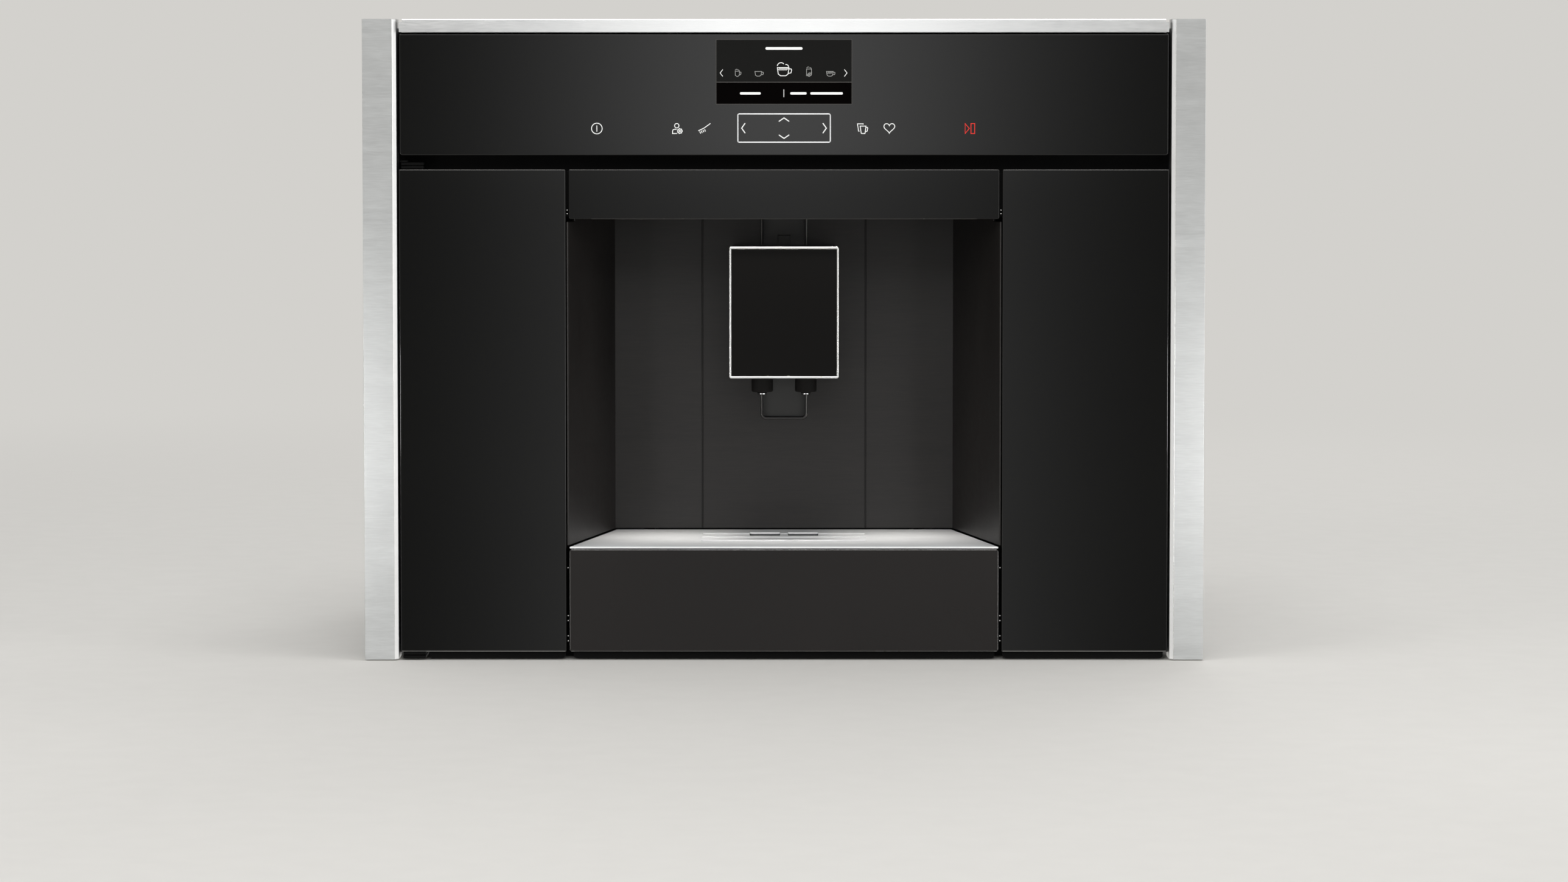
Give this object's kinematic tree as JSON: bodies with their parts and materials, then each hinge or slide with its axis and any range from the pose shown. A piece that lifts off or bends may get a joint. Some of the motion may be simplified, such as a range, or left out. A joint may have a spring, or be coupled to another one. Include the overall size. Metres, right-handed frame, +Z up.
{
  "type": "built in coffee machine",
  "caption": "Built in coffee machine for a 60 cm cabinet: black glass front with steel side trims, hinged front door, cup niche with height-adjustable outlet, slide-out drip tray.",
  "frame": {"origin": "middle of the footprint of the whole machine, on the shelf that its runners stand on", "axes": "+X to the right seen from the front, +Y to the back, +Z up; the front faces -Y"},
  "size_m": [0.596, 0.377, 0.455],
  "materials": {
    "zinc_sheet": "zinc-coated sheet steel, matt with a faint spangle",
    "brushed_steel": "stainless steel with a fine horizontal brush",
    "chrome": "polished chrome on a thin frame",
    "black_glass": "clear glass painted black behind, smooth and glossy",
    "screen": "dark colour display behind the glass",
    "black_plastic": "black moulded plastic with a fine grain",
    "grey_plastic": "dark grey moulded plastic",
    "niche_steel": "brown-black coated steel with a fine horizontal brush",
    "lamp_cover": "warm white diffuser",
    "clear_plastic": "clear slightly grey plastic",
    "smoked_plastic": "smoked brown plastic",
    "ceramic": "off-white fired ceramic",
    "cast_aluminium": "die-cast aluminium, slightly rough",
    "silicone_hose": "milky silicone hose",
    "circuit_board": "green circuit board"
  },
  "bodies": {
    "cabinet": {"base_plate": "zinc_sheet", "side_panel_left": "zinc_sheet", "side_panel_right": "zinc_sheet", "top_cover": "zinc_sheet", "rear_panel": "zinc_sheet", "hinge_bracket_top": "zinc_sheet", "hinge_bracket_bottom": "zinc_sheet", "tray_cradle": "zinc_sheet", "grinder_motor": "zinc_sheet", "trim_left": "brushed_steel", "trim_right": "brushed_steel", "top_strip": "brushed_steel", "hinge_pin_top": "brushed_steel", "hinge_pin_bottom": "brushed_steel", "nav_frame": "chrome", "control_glass": "black_glass", "display_module": "screen", "front_frame": "black_plastic", "control_carrier": "black_plastic", "niche_ceiling": "black_plastic", "outlet_guide": "black_plastic", "bean_lid": "black_plastic", "powder_drawer": "black_plastic", "brew_cover": "black_plastic", "mains_inlet": "black_plastic", "door_magnet": "grey_plastic", "grinder_housing": "grey_plastic", "brew_unit": "grey_plastic", "pump": "grey_plastic", "niche_wall_left": "niche_steel", "niche_wall_right": "niche_steel", "niche_back": "niche_steel", "niche_light": "lamp_cover", "water_tank": "clear_plastic", "bean_container": "smoked_plastic", "thermoblock": "cast_aluminium", "hose_tank": "silicone_hose", "hose_heater": "silicone_hose", "control_board": "circuit_board", "power_board": "circuit_board"},
    "door": {"door_frame": "black_plastic", "door_inner_panel": "grey_plastic", "door_glass_left": "black_glass", "door_glass_right": "black_glass", "door_lintel": "black_glass"},
    "outlet": {"outlet_carriage": "black_plastic", "outlet_housing": "black_plastic", "outlet_frame": "chrome", "outlet_front_plate": "black_glass", "nozzle_left": "black_plastic", "nozzle_right": "black_plastic"},
    "drip_tray": {"tray_front_glass": "black_glass", "tray_front_frame": "black_plastic", "drip_tray": "black_plastic", "drip_plate": "brushed_steel", "grounds_container": "grey_plastic"},
    "tank_lid": {"tank_lid": "black_plastic"},
    "grind_dial": {"grind_dial": "grey_plastic"},
    "grinder_burr": {"grinder_burr": "ceramic"},
    "mains_switch": {"mains_switch": "black_plastic"}
  },
  "joints": [
    {"name": "door_hinge", "type": "hinge", "parent": "cabinet", "child": "door", "pos_m": [-0.2691, -0.1825, 0.177], "axis": [0, 0, -1], "range_deg": [0, 110]},
    {"name": "tray_slide", "type": "slide", "parent": "cabinet", "child": "drip_tray", "axis": [0, -1, 0], "range_m": [0, 0.23]},
    {"name": "outlet_height", "type": "slide", "parent": "cabinet", "child": "outlet", "axis": [0, 0, 1], "range_m": [-0.035, 0.045]},
    {"name": "tank_lid_hinge", "type": "hinge", "parent": "cabinet", "child": "tank_lid", "pos_m": [-0.215, -0.0365, 0.2533], "axis": [-1, 0, 0], "range_deg": [0, 80]},
    {"name": "grind_dial_turn", "type": "hinge", "parent": "cabinet", "child": "grind_dial", "pos_m": [0.24, -0.1655, 0.277], "axis": [0, -1, 0], "range_deg": [-75, 75]},
    {"name": "burr_spin", "type": "hinge", "parent": "cabinet", "child": "grinder_burr", "pos_m": [0.215, 0.0085, 0.26], "axis": [0, 0, 1], "continuous": true},
    {"name": "mains_switch_rock", "type": "hinge", "parent": "cabinet", "child": "mains_switch", "pos_m": [0.215, -0.1535, 0.052], "axis": [1, 0, 0], "range_deg": [0, 12]}
  ]
}
